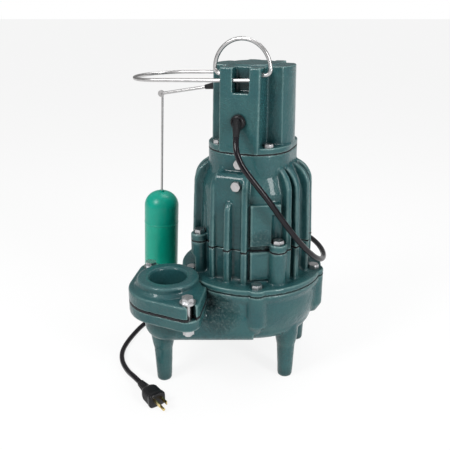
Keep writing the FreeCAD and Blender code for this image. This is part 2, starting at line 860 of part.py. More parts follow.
def guard_line(y):
    # the guard's straight rod at one side, from its inner end to the start of its nose
    slope = math.tan(math.radians(guard_droop))
    inner = Vector(guard_inner_end, y, z_top - guard_drop + slope * (guard_inner_end + barrel_half))
    outer_x = -(guard_reach - guard_wire_radius - guard_half_width)
    outer = Vector(outer_x, y, z_top - guard_drop + slope * (outer_x + barrel_half))
    return inner, outer


def float_guard():
    inner_a, outer_a = guard_line(-guard_half_width)
    inner_b, outer_b = guard_line(guard_half_width)
    slope = math.tan(math.radians(guard_droop))
    tip = Vector(outer_a.x - guard_half_width, 0, outer_a.z - slope * guard_half_width)
    path = Part.Wire([line(inner_a, outer_a), arc(outer_a, tip, outer_b), line(outer_b, inner_b)])
    start = Part.Wire(Part.Circle(inner_a, outer_a - inner_a, guard_wire_radius).toShape())
    return path.makePipeShell([start], True, False)


def side_lobe(side):
    # a round side wall that leans in towards the top
    circles = []
    for z, reach in ((z_cap, barrel_side), (z_top, cap_top_half)):
        centre = Vector(side * (reach - side_radius), 0, z)
        circles.append(Part.Wire(Part.Circle(centre, Z, side_radius).toShape()))
    slab = block(-barrel_half - 5, barrel_half + 5, -notch_edge, notch_edge, z_cap, z_top)
    return Part.makeLoft(circles, True, True).common(slab)


def switch_cap():
    shapes = [barrel_prism(z_cap, z_ledge), panel(-1), panel(1),
              block(-side_flat, side_flat, -notch_edge, notch_edge, z_cap, z_top),
              cylinder(lid_radius, z_top - 1, z_top + lid_rise)]
    shapes += [side_lobe(1), side_lobe(-1)]
    body = fuse(shapes)
    narrow = notch_edge - cap_wall
    wide = cap_top_half - cap_wall
    roof = z_top - cap_roof
    lobe_top = z_top - pocket_depth - cap_wall
    tools = [
        block(-side_flat, side_flat, -narrow, narrow, z_cap - 1, roof),
        cylinder(side_bay, z_cap - 1, roof, wide - side_bay - 1.5),
        cylinder(side_bay, z_cap - 1, roof, side_bay + 1.5 - wide),
        block(-narrow, narrow, -cap_lobe_short, cap_lobe_short, z_cap - 1, roof),
        block(-narrow, narrow, -wide, wide, z_cap - 1, lobe_top),
        block(pocket_centre - pocket_half_width, pocket_centre + pocket_half_width,
              -barrel_half - 5, -pocket_back, z_top - pocket_depth, z_top + 5),
        block(pocket_centre - pocket_half_width, pocket_centre + pocket_half_width,
              pocket_back, barrel_half + 5, z_top - pocket_depth, z_top + 5),
    ]
    for y in (-guard_half_width, guard_half_width):
        inner, outer_end = guard_line(y)
        past = (inner - outer_end).normalize() * guard_hole_end
        tools.append(rod(guard_wire_radius + fit_clearance, inner + past, outer_end))
    for side in (-1, 1):
        start = Vector(side * (panel_half_width - bail_grip - 0.5), bail_pivot_y, z_top - bail_pivot_drop)
        end = Vector(side * (panel_half_width + 4), bail_pivot_y, z_top - bail_pivot_drop)
        tools.append(rod(bail_wire_radius + pivot_clearance, start, end))
    socket = Vector(arm_pivot_x, 0, z_arm)
    tools.append(rod(arm_seal_radius + arm_seal_clearance, Vector(-barrel_half - 5, 0, z_arm),
                     Vector(-wide + 4, 0, z_arm)))
    mouth = Vector(-barrel_side + (barrel_side - cap_top_half) * (z_arm - z_cap) / cap_height, 0, z_arm)
    tools.append(Part.makeCone(arm_seal_radius, arm_seal_radius + 2 * arm_seal_mouth, 2 * arm_seal_mouth,
                               mouth + Vector(arm_seal_mouth, 0, 0), Vector(-1, 0, 0)))
    tools.append(rod(arm_pin_radius + running_clearance, socket - Vector(0, arm_pin_half + 0.2, 0),
                     socket + Vector(0, arm_pin_half + 0.2, 0)))
    tools.append(Part.makeCylinder(gland_stem_radius + fit_clearance, 30,
                                   Vector(0, -gland_face() - 10, z_gland), Vector(0, 1, 0)))
    tools.append(Part.makeCylinder(gland_radius + fit_clearance, 20,
                                   Vector(0, gland_sink - gland_face(), z_gland), Vector(0, -1, 0)))
    for x, y in cap_screw_spots():
        tools.append(cylinder(cap_screw[0] + bolt_clearance, z_cap - 1, z_ledge + 1, x, y))
    return cut(body, [fuse(tools)])


def gland_face():
    # distance of the front panel's face from the axis at the gland's height
    return panel_foot + (panel_top - panel_foot) * (z_gland - z_cap) / cap_height


def cord_aim():
    return Vector(*gland_aim).normalize()


def cord_exit():
    # the boss tilts down, so the cord starts along its axis
    return Vector(0, -gland_face() - gland_flange + gland_stem_radius / 4, z_gland) + cord_aim() * gland_boss


def cord_gland():
    face = gland_face()
    stem = Part.makeCylinder(gland_stem_radius, 12, Vector(0, -face + 12, z_gland), Vector(0, -1, 0))
    flange = Part.makeCylinder(gland_radius, gland_flange + gland_sink, Vector(0, gland_sink - face, z_gland),
                               Vector(0, -1, 0))
    flange = flange.makeFillet(2.0, [e for e in flange.Edges
                                     if e.BoundBox.YMax < -face - gland_flange + 0.1])
    boss = Part.makeCone(gland_stem_radius, cord_radius + 1.5, gland_boss,
                         cord_exit() - cord_aim() * gland_boss, cord_aim())
    return fuse([stem, flange, boss])


def lifting_bail():
    y = bail_pivot_y
    z = z_top - bail_pivot_drop
    half = bail_half_width
    bend = bail_bend
    mid = bend * (1 - math.sqrt(0.5))
    top = z + bail_height
    inner = panel_half_width - bail_grip
    spring = top - half
    edges = [line(Vector(-inner, y, z), Vector(-half + bend, y, z)),
             arc(Vector(-half + bend, y, z), Vector(-half + mid, y, z + mid), Vector(-half, y, z + bend)),
             line(Vector(-half, y, z + bend), Vector(-half, y, spring)),
             arc(Vector(-half, y, spring), Vector(0, y, top), Vector(half, y, spring)),
             line(Vector(half, y, spring), Vector(half, y, z + bend)),
             arc(Vector(half, y, z + bend), Vector(half - mid, y, z + mid), Vector(half - bend, y, z)),
             line(Vector(half - bend, y, z), Vector(inner, y, z))]
    path = Part.Wire(edges)
    start = Part.Wire(Part.Circle(Vector(-inner, y, z), Vector(1, 0, 0), bail_wire_radius).toShape())
    return path.makePipeShell([start], True, False)


def float_arm():
    pivot = Vector(arm_pivot_x, 0, z_arm)
    eye = Vector(float_x, 0, eye_z)
    along = (eye - pivot).normalize()
    inner_end = pivot - along * (arm_inner + switch_plunger_radius)
    wire = rod(arm_wire_radius, inner_end, eye - along * (rod_radius + 1.5))
    ring_out = Part.makeCylinder(eye_outer, eye_thick, eye - Vector(0, eye_thick / 2, 0), Vector(0, 1, 0))
    hole = Part.makeCylinder(rod_radius + running_clearance, 20, eye - Vector(0, 10, 0), Vector(0, 1, 0))
    pin_hole = rod(arm_pin_radius + running_clearance, pivot - Vector(0, 10, 0), pivot + Vector(0, 10, 0))
    return fuse([wire, ring_out]).cut(hole).cut(pin_hole)


def arm_seal():
    # a rubber ball on the arm that runs out in a cone, drawn along +Z and then laid along the arm
    pivot = Vector(arm_pivot_x, 0, z_arm)
    along = Vector(float_x, 0, eye_z) - pivot
    back = -math.sqrt(arm_seal_radius ** 2 - arm_wire_radius ** 2)
    front = arm_seal_cone * arm_seal_radius
    waist = math.sqrt(arm_seal_radius ** 2 - front ** 2)
    seal = revolved([
        arc(rz(arm_wire_radius, back), rz(arm_seal_radius, 0), rz(waist, front)),
        line(rz(waist, front), rz(arm_wire_radius + arm_seal_lip, arm_seal_length)),
        line(rz(arm_wire_radius + arm_seal_lip, arm_seal_length), rz(arm_wire_radius, arm_seal_length)),
        line(rz(arm_wire_radius, arm_seal_length), rz(arm_wire_radius, back)),
    ])
    seal.rotate(Vector(0, 0, 0), Vector(0, 1, 0), math.degrees(math.atan2(along.x, along.z)))
    seal.translate(pivot)
    side = Vector(0, 10, 0)
    return seal.cut(rod(arm_pin_radius + running_clearance, pivot - side, pivot + side))


def arm_pin():
    pivot = Vector(arm_pivot_x, 0, z_arm)
    return rod(arm_pin_radius, pivot - Vector(0, arm_pin_half, 0), pivot + Vector(0, arm_pin_half, 0))


def float_rod():
    y = rod_offset_y
    tail = Vector(float_x, -eye_thick / 2 - hook_overhang, eye_z)
    bend = 2.5
    mid = bend * (1 - math.sqrt(0.5))
    edges = [line(tail, Vector(float_x, y - bend, eye_z)),
             arc(Vector(float_x, y - bend, eye_z), Vector(float_x, y - mid, eye_z - mid),
                 Vector(float_x, y, eye_z - bend)),
             line(Vector(float_x, y, eye_z - bend),
                  Vector(float_x, y, float_top + float_neck - rod_in_float))]
    start = Part.Wire(Part.Circle(tail, Vector(0, 1, 0), rod_radius).toShape())
    return leaned(Part.Wire(edges).makePipeShell([start], True, False))


def leaned(shape):
    # the rod leans out a little from the eye that it hangs in
    copy = shape.copy()
    copy.rotate(Vector(float_x, 0, eye_z), Vector(0, 1, 0), float_lean)
    return copy


def float_profile(grow):
    # the outline of the float, drawn in by the wall for its hollow
    r = float_radius - grow
    low = float_bottom + grow
    high = float_top - grow
    base = 8.0
    dome = float_dome
    return revolved([
        line(rz(0, low), rz(r - base, low)),
        arc(rz(r - base, low), rz(r - base * (1 - math.sqrt(0.5)), low + base * (1 - math.sqrt(0.5))),
            rz(r, low + base)),
        line(rz(r, low + base), rz(r, high - dome)),
        arc(rz(r, high - dome), rz(r * 0.76, high - dome * 0.3), rz(0.22 * r, high)),
        line(rz(0.22 * r, high), rz(0, high)),
        line(rz(0, high), rz(0, low)),
    ])


def float_shells():
    hull = float_profile(0).cut(float_profile(float_wall))
    neck = cylinder(float_neck_radius, float_top - rod_in_float, float_top + float_neck)
    hole = cylinder(rod_radius, float_top + float_neck - rod_in_float, float_top + float_neck + 1)
    upper = fuse([hull.common(cylinder(float_radius + 5, float_seam, float_top + 5)), neck]).cut(hole)
    lower = hull.common(cylinder(float_radius + 5, float_bottom - 5, float_seam))
    for shape in (upper, lower):
        shape.translate(Vector(float_x, rod_offset_y, 0))
    return leaned(upper), leaned(lower)


def bearing(low, outer, inner):
    high = low + bearing_width
    gap = outer - inner - 2 * race_thick
    outer_race = ring(outer, outer - race_thick, low, high)
    inner_race = ring(inner + race_thick, inner, low, high)
    ball_radius = gap / 2 - running_clearance
    balls = []
    for k in range(ball_count):
        x, y = polar((outer + inner) / 2, 360 * k / ball_count)
        balls.append(Part.makeSphere(ball_radius, Vector(x, y, low + bearing_width / 2)))
    return outer_race, inner_race, balls


def shaft():
    web = z_motor + stator_room
    low_bearing = z_adapter_top - bearing_width
    hub_top = z_shroud_top + 3
    return fuse([
        cylinder(shaft_thread_radius, impeller_nut_low() - 4, hub_top - hub_height),
        cylinder(shaft_nose_radius, hub_top - hub_height, hub_top),
        cylinder(shaft_seal_radius, hub_top, z_adapter_top + 1),
        cylinder(shaft_body_radius, low_bearing + bearing_width + 1, web - 1),
        cylinder(shaft_top_radius, web - 1, web + bearing_width + 1),
    ])


def impeller_nut_low():
    return z_shroud_top + 3 - hub_height - impeller_washer_thick - impeller_nut_height


def impeller():
    top = z_shroud_top
    shapes = [cylinder(impeller_radius, top - shroud_thick, top),
              cylinder(hub_radius, top + 3 - hub_height, top + 3)]
    for k in range(vane_count):
        vane = block(0, impeller_radius - hub_radius + 6, -vane_thick / 2, vane_thick / 2,
                     top - shroud_thick - vane_height, top - shroud_thick + 1)
        vane.rotate(Vector(0, 0, 0), Z, vane_lean)
        vane.translate(Vector(hub_radius - 4, 0, 0))
        shapes.append(turned(vane, 360 * k / vane_count))
    body = fuse(shapes).common(cylinder(impeller_radius, top - 100, top + 10))
    return body.cut(cylinder(shaft_nose_radius, top - 100, top + 10))


def seal_spring(low):
    pitch = (spring_height - 2 * spring_wire_radius) / spring_turns
    helix = Part.makeHelix(pitch, pitch * spring_turns, spring_radius)
    start = Part.Wire(Part.Circle(Vector(spring_radius, 0, 0), Vector(0, 1, 0), spring_wire_radius).toShape())
    coil = Part.Wire(helix.Edges).makePipeShell([start], True, True)
    coil.translate(Vector(0, 0, low + spring_wire_radius))
    return coil


def rotor_parts(nodes):
    stator_low = z_motor + stator_rise
    stator_high = stator_low + stator_height
    nodes["stator_core"] = [
        ring(stator_bore - fit_clearance, rotor_radius + air_gap, stator_low, stator_high)]
    nodes["stator_windings"] = [
        ring(winding_radii[1], winding_radii[0], stator_low - winding_height, stator_low),
        ring(winding_radii[1], winding_radii[0], stator_high, stator_high + winding_height)]
    nodes["rotor_core"] = [ring(rotor_radius, shaft_body_radius, stator_low, stator_high)]
    nodes["rotor_end_rings"] = [
        ring(rotor_radius - 1.5, shaft_body_radius, stator_low - end_ring_height, stator_low),
        ring(rotor_radius - 1.5, shaft_body_radius, stator_high, stator_high + end_ring_height)]
    upper = bearing(z_motor + stator_room, upper_bearing_radius, shaft_top_radius)
    lower = bearing(z_adapter_top - bearing_width, lower_bearing_radius, shaft_seal_radius)
    for name, parts in (("upper", upper), ("lower", lower)):
        nodes[name + "_bearing_outer_race"] = [parts[0]]
        nodes[name + "_bearing_inner_race"] = [parts[1]]
        nodes[name + "_bearing_balls"] = parts[2]
    seat_low = z_adapter + seal_lip
    head_low = seat_low + seat_height + running_clearance
    collar_low = head_low + seal_head_height + spring_height
    nodes["seal_seat"] = [ring(seat_radius, shaft_seal_radius + 1, seat_low, seat_low + seat_height)]
    nodes["seal_head"] = [ring(seal_head_radius, shaft_seal_radius, head_low, head_low + seal_head_height)]
    nodes["seal_spring"] = [seal_spring(head_low + seal_head_height)]
    nodes["seal_collar"] = [ring(seal_head_radius, shaft_seal_radius, collar_low, collar_low + 4)]
    nodes["shaft"] = [shaft()]
    nodes["impeller"] = [impeller()]
    nut_low = impeller_nut_low()
    washer_low = nut_low + impeller_nut_height
    nodes["impeller_nut"] = [hexagon(impeller_nut_af, nut_low, washer_low).cut(
        cylinder(shaft_thread_radius, nut_low - 1, washer_low + 1))]
    nodes["impeller_washer"] = [ring(impeller_washer_radius, shaft_thread_radius, washer_low,
                                     washer_low + impeller_washer_thick)]


def cap_contents(nodes):
    roof = z_top - cap_roof
    low = roof - capacitor_gap - capacitor_length
    nodes["start_capacitor"] = [cylinder(capacitor_radius, low, roof - capacitor_gap, capacitor_x)]
    x0 = -switch_back
    top = z_arm - arm_inner
    sx, sy, sz = switch_size
    box = block(x0, x0 + sx, -sy / 2, sy / 2, top - sz, top)
    bore = cylinder(switch_plunger_radius + running_clearance, top - switch_plunger_depth, top + 1,
                    switch_plunger_x)
    nodes["float_switch"] = [box.cut(bore)]
    pivot = Vector(arm_pivot_x, 0, z_arm)
    slope = (z_arm - eye_z) / (arm_pivot_x - float_x)
    edge = switch_plunger_x - switch_plunger_radius
    under = z_arm + slope * (edge - pivot.x) - arm_wire_radius * math.hypot(1, slope) - switch_gap
    nodes["switch_plunger"] = [cylinder(switch_plunger_radius, under - switch_plunger_rise - 8, under,
                                        switch_plunger_x)]


def tube(points, label):
    # straight runs joined by tangent arcs, each as large as its two runs allow
    edges = []
    start = points[0]
    radii = []
    for i in range(1, len(points) - 1):
        before, here, after = points[i - 1], points[i], points[i + 1]
        u = (before - here).normalize()
        v = (after - here).normalize()
        turn = math.pi - u.getAngle(v)
        reach = 0.45 * min((before - here).Length, (after - here).Length)
        radii.append(reach / math.tan(turn / 2))
        a = here + u * reach
        b = here + v * reach
        inward = (u + v).normalize()
        middle = here + inward * (radii[-1] / math.cos(turn / 2) - radii[-1])
        edges.append(line(start, a))
        edges.append(arc(a, middle, b))
        start = b
    edges.append(line(start, points[-1]))
    path = Part.Wire(edges)
    section = Part.Wire(Part.Circle(points[0], points[1] - points[0], cord_radius).toShape())
    solid = path.makePipeShell([section], True, False)
    print(label, "length", round(path.Length), "radii", [round(r) for r in radii])
    print(label, "volume against section times length",
          round(solid.Volume / (math.pi * cord_radius ** 2 * path.Length), 4))
    return solid


def coil_end(angle, layer, way):
    # where a stub leaves the coil, and the direction in which it leaves
    radius = coil_mean_radius + coil_pitch * (coil_rows - 1) / 2
    x, y = polar(radius, angle)
    point = Vector(coil_centre[0] + x, coil_centre[1] + y, cord_radius + 0.2 + layer * coil_pitch)
    dx, dy = polar(1, angle + 90)
    return point, Vector(dx, dy, 0) * way


def cord_coil():
    spread = coil_pitch * coil_rows / 2
    height = coil_pitch * coil_layers
    body = ring(coil_mean_radius + spread, coil_mean_radius - spread, 0, height,
                coil_centre[0], coil_centre[1])
    shapes = [body]
    for angle, layer, way in ((coil_in_angle, 1, -1), (coil_out_angle, 0, 1)):
        point, direction = coil_end(angle, layer, way)
        reach = coil_stub + math.sqrt(2 * coil_mean_radius * coil_pitch)
        shapes.append(rod(cord_radius, point, point + direction * reach))
    return fuse(shapes)


def coil_mouth(angle, layer, way):
    # the end of a stub, and a point straight on from it
    point, direction = coil_end(angle, layer, way)
    reach = coil_stub + math.sqrt(2 * coil_mean_radius * coil_pitch)
    return point + direction * reach, point + direction * (reach + end_run)


def plug_parts(nodes):
    # drawn along +X from the cord's end, then turned to lie as it does on the floor
    tail = Part.makeCone(cord_radius + 1, cord_radius + 4, plug_tail, Vector(0, 0, 0), Vector(1, 0, 0))
    x0 = plug_tail - 1
    x1 = plug_tail + plug_body_length
    body = block(x0, x1, -plug_half_width, plug_half_width, -plug_half_height, plug_half_height)
    body = body.makeFillet(6.0, [e for e in body.Edges if e.BoundBox.XLength > 5])
    body = body.makeFillet(2.0, [e for e in body.Edges if e.BoundBox.XMin > x1 - 0.1])
    thick, wide = plug_blade
    blades = []
    for side in (-1, 1):
        y = side * plug_blade_gap / 2
        blades.append(block(x1, x1 + plug_blade_length, y - thick / 2, y + thick / 2,
                            plug_pin_drop / 2 - wide / 2, plug_pin_drop / 2 + wide / 2))
    pin = Part.makeCylinder(plug_pin_radius, plug_blade_length + 2, Vector(x1, 0, -plug_pin_drop),
                            Vector(1, 0, 0))
    blades.append(pin.makeFillet(1.2, [e for e in pin.Edges if e.BoundBox.XMin > x1 + plug_blade_length]))
    nodes["plug_body"] = [fuse([tail, body])]
    nodes["plug_blades"] = blades
    angle = math.degrees(math.atan2(plug_direction[1], plug_direction[0]))
    for name in ("plug_body", "plug_blades"):
        for shape in nodes[name]:
            shape.rotate(Vector(0, 0, 0), Z, angle)
            shape.translate(Vector(*plug_start))


def cord_parts(nodes):
    into, into_run = coil_mouth(coil_in_angle, 1, -1)
    out, out_run = coil_mouth(coil_out_angle, 0, 1)
    upper = [cord_exit(), cord_exit() + cord_aim() * gland_run] + [Vector(*p) for p in upper_route]
    upper += [into_run, into]
    lower = [out, out_run] + [Vector(*p) for p in lower_route]
    lower += [Vector(*plug_start) - Vector(*plug_direction) * end_run, Vector(*plug_start)]
    nodes["power_cord_upper"] = [tube(upper, "upper cord")]
    nodes["power_cord_coil"] = [cord_coil()]
    nodes["power_cord_lower"] = [tube(lower, "lower cord")]
    nodes["cord_gland"] = [cord_gland()]
    plug_parts(nodes)


def all_nodes():
    nodes = {}
    bowl = bowl_blank()
    outlet = outlet_blank()
    nodes["volute_housing"] = [volute_housing(bowl)]
    nodes["volute_outlet"] = [volute_outlet(bowl, outlet)]
    nodes["volute_legs"] = volute_legs(bowl, outlet)
    nodes["volute_gasket"] = [volute_gasket()]
    nodes["adapter_housing"] = [adapter_housing()]
    nodes["motor_gasket"] = [motor_gasket()]
    nodes["motor_housing"] = [motor_housing()]
    nodes["cap_gasket"] = [cap_gasket()]
    nodes["switch_cap"] = [switch_cap()]
    nodes["volute_bolts"] = [hex_bolt(lug_bolt, x, y, z_flange) for x, y in lug_spots()]
    nodes["motor_bolts"] = [hex_bolt(motor_bolt, x, y, z_motor + motor_lug_thick)
                            for x, y in corner_spots(motor_lug_circle)]
    nodes["cap_screws"] = [hex_bolt(cap_screw, x, y, z_ledge) for x, y in cap_screw_spots()]
    nodes["oil_plugs"] = oil_plugs()
    nodes["discharge_gasket"] = [discharge_gasket()]
    nodes["discharge_flange"] = [discharge_flange()]
    bolts, washers, nuts = discharge_fasteners()
    nodes["discharge_bolts"] = bolts
    nodes["discharge_washers"] = washers
    nodes["discharge_nuts"] = nuts
    nodes["float_guard"] = [float_guard()]
    nodes["lifting_bail"] = [lifting_bail()]
    nodes["float_arm"] = [float_arm()]
    nodes["arm_seal"] = [arm_seal()]
    nodes["arm_pin"] = [arm_pin()]
    nodes["float_rod"] = [float_rod()]
    upper, lower = float_shells()
    nodes["float_upper_shell"] = [upper]
    nodes["float_lower_shell"] = [lower]
    rotor_parts(nodes)
    cap_contents(nodes)
    cord_parts(nodes)
    return nodes


def main():
    os.makedirs("parts", exist_ok=True)
    for name, solids in all_nodes().items():
        shape = solids[0] if len(solids) == 1 else Part.makeCompound(solids)
        bad = [s for s in shape.Solids if not s.isValid() or s.Volume <= 0]
        print(name, "solids", len(shape.Solids), "volume", round(shape.Volume / 1000, 1),
              "NOT VALID" if bad or not shape.Solids else "")
        shape.exportStep("parts/" + name + ".step")


main()
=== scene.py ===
import json
import math

import bmesh
import bpy
import numpy as np
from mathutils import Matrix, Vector, noise

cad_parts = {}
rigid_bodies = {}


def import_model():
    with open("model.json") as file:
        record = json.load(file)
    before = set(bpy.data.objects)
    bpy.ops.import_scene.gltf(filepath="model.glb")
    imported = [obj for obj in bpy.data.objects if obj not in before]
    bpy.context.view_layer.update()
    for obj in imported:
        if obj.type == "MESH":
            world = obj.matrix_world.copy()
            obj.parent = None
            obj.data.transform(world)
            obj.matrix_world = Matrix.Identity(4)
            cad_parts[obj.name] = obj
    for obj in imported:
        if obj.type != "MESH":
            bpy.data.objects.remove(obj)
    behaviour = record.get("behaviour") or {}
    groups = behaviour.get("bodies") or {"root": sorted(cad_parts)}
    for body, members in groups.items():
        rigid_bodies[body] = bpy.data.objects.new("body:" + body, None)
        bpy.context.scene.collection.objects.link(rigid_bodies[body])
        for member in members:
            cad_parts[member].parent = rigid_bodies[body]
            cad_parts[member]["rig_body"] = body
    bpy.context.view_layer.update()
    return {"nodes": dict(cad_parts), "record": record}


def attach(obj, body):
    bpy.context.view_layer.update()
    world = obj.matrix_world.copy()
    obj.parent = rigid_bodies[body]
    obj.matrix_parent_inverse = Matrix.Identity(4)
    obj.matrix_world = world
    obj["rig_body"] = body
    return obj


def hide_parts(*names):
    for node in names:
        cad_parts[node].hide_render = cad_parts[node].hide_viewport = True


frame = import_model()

# A submersible sump pump: five painted castings on four legs, a lifting bail, a float
# on an arm inside a wire guard, and a mains cord. All lengths are in metres.

nodes = frame["nodes"]
MM = 0.001
# Where the casting is left rough, with painted glints on it, as a centre and how far the roughness and the
# glints reach
ROUGH_AND_GLINT_OUTLET = ((-0.012, -0.115, 0.142), 40 * MM)
ROUGH_AND_GLINT_PAD = ((0.039, -0.072, 0.257), 26 * MM)


# Camera, at the photograph's viewing angle
def make_camera():
    data = bpy.data.cameras.new("camera")
    data.lens = 48.0
    data.sensor_width = 36.0
    data.clip_start = 0.05
    data.clip_end = 20.0
    camera = bpy.data.objects.new("camera", data)
    camera.location = (0.3162, -0.9055, 0.6116)
    camera.rotation_euler = (math.radians(69.4), 0.0, math.radians(22.0))
    bpy.context.scene.collection.objects.link(camera)
    bpy.context.scene.camera = camera


make_camera()
bpy.context.scene.view_settings.view_transform = "Standard"


# Procedural materials
class Shader:
    """One material with a Principled shader, and short calls for its texture nodes."""

    def __init__(self, name, **values):
        self.material = bpy.data.materials.new(name)
        self.material.use_nodes = True
        self.tree = self.material.node_tree
        self.shader = self.tree.nodes["Principled BSDF"]
        for key, value in values.items():
            self.shader.inputs[key.replace("_", " ")].default_value = value
        self.place = self.node("ShaderNodeTexCoord").outputs["Object"]

    def node(self, kind, **settings):
        made = self.tree.nodes.new(kind)
        for key, value in settings.items():
            setattr(made, key, value)
        return made

    def link(self, a, b):
        self.tree.links.new(a, b)

    def noise(self, size, detail=3.0, rough=0.5, stretch=(1, 1, 1)):
        """Noise whose features are about size metres across."""
        scaled = self.node("ShaderNodeMapping")
        scaled.inputs["Scale"].default_value = stretch
        self.link(self.place, scaled.inputs["Vector"])
        made = self.node("ShaderNodeTexNoise")
        made.inputs["Scale"].default_value = 1.0 / size
        made.inputs["Detail"].default_value = detail
        made.inputs["Roughness"].default_value = rough
        self.link(scaled.outputs["Vector"], made.inputs["Vector"])
        return made.outputs["Fac"]

    def spread(self, value, low, high, start=0.3, end=0.7):
        made = self.node("ShaderNodeMapRange")
        for key, number in (("From Min", start), ("From Max", end), ("To Min", low), ("To Max", high)):
            made.inputs[key].default_value = number
        self.link(value, made.inputs["Value"])
        return made.outputs["Result"]

    def mix(self, factor, a, b, blend="MIX"):
        made = self.node("ShaderNodeMix", data_type="RGBA", blend_type=blend)
        for value, index in ((factor, 0), (a, 6), (b, 7)):
            if hasattr(value, "is_linked"):
                self.link(value, made.inputs[index])
            elif index == 0:
                made.inputs[0].default_value = value
            else:
                made.inputs[index].default_value = (*value, 1.0)
        return made.outputs[2]

    def combine(self, a, b, operation="ADD"):
        made = self.node("ShaderNodeMath", operation=operation)
        for value, index in ((a, 0), (b, 1)):
            if hasattr(value, "is_linked"):
                self.link(value, made.inputs[index])
            else:
                made.inputs[index].default_value = value
        return made.outputs[0]

    def bump(self, height, distance, strength=1.0):
        made = self.node("ShaderNodeBump")
        made.inputs["Strength"].default_value = strength
        made.inputs["Distance"].default_value = distance
        self.link(height, made.inputs["Height"])
        if self.shader.inputs["Normal"].is_linked:
            self.link(self.shader.inputs["Normal"].links[0].from_socket, made.inputs["Normal"])
        self.link(made.outputs["Normal"], self.shader.inputs["Normal"])

    def open_to(self, distance):
        """How open each point is to its surroundings within a distance, from 0 to 1."""
        made = self.node("ShaderNodeAmbientOcclusion", samples=8)
        made.inputs["Distance"].default_value = distance
        return made.outputs["AO"]

    def near(self, centre, radius):
        """1 close to a point, and 0 beyond a radius from it."""
        made = self.node("ShaderNodeVectorMath", operation="DISTANCE")
        self.link(self.place, made.inputs[0])
        made.inputs[1].default_value = centre
        return self.spread(made.outputs["Value"], 1.0, 0.0, 0.6 * radius, radius)

    def feed(self, name, output):
        self.link(output, self.shader.inputs[name])


def painted_casting():
    made = Shader("green_enamel", Coat_Weight=0.35, Coat_Roughness=0.06, Specular_IOR_Level=0.2)
    broad = made.noise(45 * MM, 2.0)
    fine = made.noise(2.2 * MM, 4.0, 0.62)
    pits = made.noise(0.9 * MM, 2.0)
    lumps = made.noise(5.5 * MM, 3.0, 0.55)
    waves = made.noise(16 * MM, 3.0)
    patches = made.spread(made.noise(60 * MM, 2.0), 0.35, 1.0, 0.42, 0.58)
    # two places where the sand of the mould has left the casting rough, with painted glints, a painted
    # highlight, speckled over them
    grit_and_glints = made.noise(4 * MM, 5.0, 0.75)
    rough = made.combine(made.near(*ROUGH_AND_GLINT_OUTLET), made.near(*ROUGH_AND_GLINT_PAD))
    painted_glints = made.combine(made.spread(grit_and_glints, 0.0, 0.4, 0.5, 0.66), rough, "MULTIPLY")
    colour = made.mix(made.spread(broad, 0.0, 1.0), (0.017, 0.077, 0.085), (0.032, 0.105, 0.105))
    colour = made.mix(made.spread(fine, 0.0, 0.5), colour, (0.006, 0.044, 0.052))
    # painted shade: the colour darkens where the surface is closed in within 30 mm, in recesses and between
    # ribs
    colour = made.mix(made.spread(made.open_to(30 * MM), 0.92, 0.0, 0.2, 0.9), colour, (0.004, 0.018, 0.021))
    edge = made.node("ShaderNodeNewGeometry").outputs["Pointiness"]
    # painted highlight: sharp outer edges are painted lighter
    colour = made.mix(made.spread(edge, 0.0, 0.7, 0.512, 0.56), colour, (0.2, 0.31, 0.3))
    # painted shade: creases and inner corners are painted darker
    colour = made.mix(made.spread(edge, 0.85, 0.0, 0.43, 0.49), colour, (0.004, 0.015, 0.018))
    # painted highlight: light glints painted into the colour of the rough places
    colour = made.mix(painted_glints, colour, (0.26, 0.36, 0.35))
    made.feed("Base Color", colour)
    made.feed("Roughness", made.spread(fine, 0.2, 0.42))
    made.bump(waves, 1.6 * MM, 0.7)
    made.bump(made.combine(lumps, patches, "MULTIPLY"), 1.6 * MM, 0.9)
    made.bump(made.combine(fine, made.combine(pits, 0.4, "MULTIPLY")), 0.55 * MM, 0.8)
    made.bump(made.combine(grit_and_glints, rough, "MULTIPLY"), 9 * MM, 1.0)
    return made.material


def metal(name, colour, rough, grain=0.35 * MM, dark=0.6):
    made = Shader(name, Metallic=1.0)
    streaks = made.noise(grain, 3.0, 0.6, (1, 1, 0.12))
    stains = made.noise(9 * MM, 3.0)
    shade = tuple(c * dark for c in colour)
    made.feed("Base Color", made.mix(made.spread(stains, 0.0, 0.45), colour, shade))
    made.feed("Roughness", made.spread(streaks, rough * 0.75, rough * 1.35))
    made.bump(streaks, 0.008 * MM, 0.3)
    return made.material


def rubber(name, colour, rough, grain=0.8 * MM, specular=0.2):
    made = Shader(name, Specular_IOR_Level=specular, Coat_Weight=0.2, Coat_Roughness=0.12)
    fine = made.noise(grain, 3.0)
    broad = made.noise(18 * MM, 3.0)
    lighter = tuple(c * 1.6 + 0.002 for c in colour)
    made.feed("Base Color", made.mix(made.spread(broad, 0.0, 1.0), colour, lighter))
    made.feed("Roughness", made.spread(fine, rough * 0.85, rough * 1.2))
    made.bump(fine, 0.06 * MM, 0.5)
    return made.material


def moulded(name, colour, deep, rough):
    made = Shader(name, Specular_IOR_Level=0.1, Coat_Weight=0.5, Coat_Roughness=0.33)
    broad = made.noise(30 * MM, 3.0)
    fine = made.noise(1.2 * MM, 3.0)
    scuffs = made.noise(5 * MM, 5.0, 0.7, (1, 1, 0.15))
    base = made.mix(made.spread(broad, 0.0, 1.0), colour, deep)
    made.feed("Base Color", made.mix(made.spread(scuffs, 0.0, 0.25, 0.62, 0.75), base,
                                     tuple(c * 0.5 + 0.25 for c in colour)))
    made.feed("Roughness", made.spread(fine, rough * 0.8, rough * 1.25))
    made.bump(fine, 0.05 * MM, 0.35)
    return made.material


